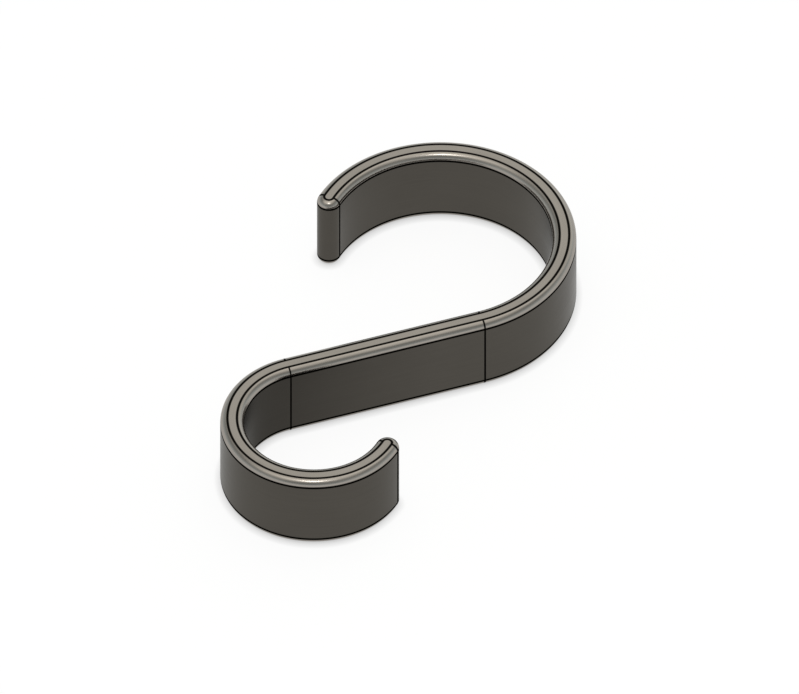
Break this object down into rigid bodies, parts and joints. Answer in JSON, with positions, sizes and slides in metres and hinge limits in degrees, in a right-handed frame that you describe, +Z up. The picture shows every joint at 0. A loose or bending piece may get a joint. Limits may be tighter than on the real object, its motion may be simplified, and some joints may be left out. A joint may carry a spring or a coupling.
{
  "type": "s hook",
  "caption": "Flat-bar S hook in satin steel: a wide loop for a rail and a smaller loop for the load, joined by a slanted shank, with rounded edges and half-round tips.",
  "frame": {"origin": "middle of the hook's box, on the surface that it lies on", "axes": "+Y along the hanging line, from the load loop's centre to the rail loop's centre; +Z up, along the bar's width; +X to the side where the load loop's tip is"},
  "size_m": [0.0396, 0.0758, 0.0125],
  "materials": {
    "steel": "satin, with a fine lengthwise grain"
  },
  "bodies": {
    "root": {"s_hook": "steel"}
  },
  "joints": []
}
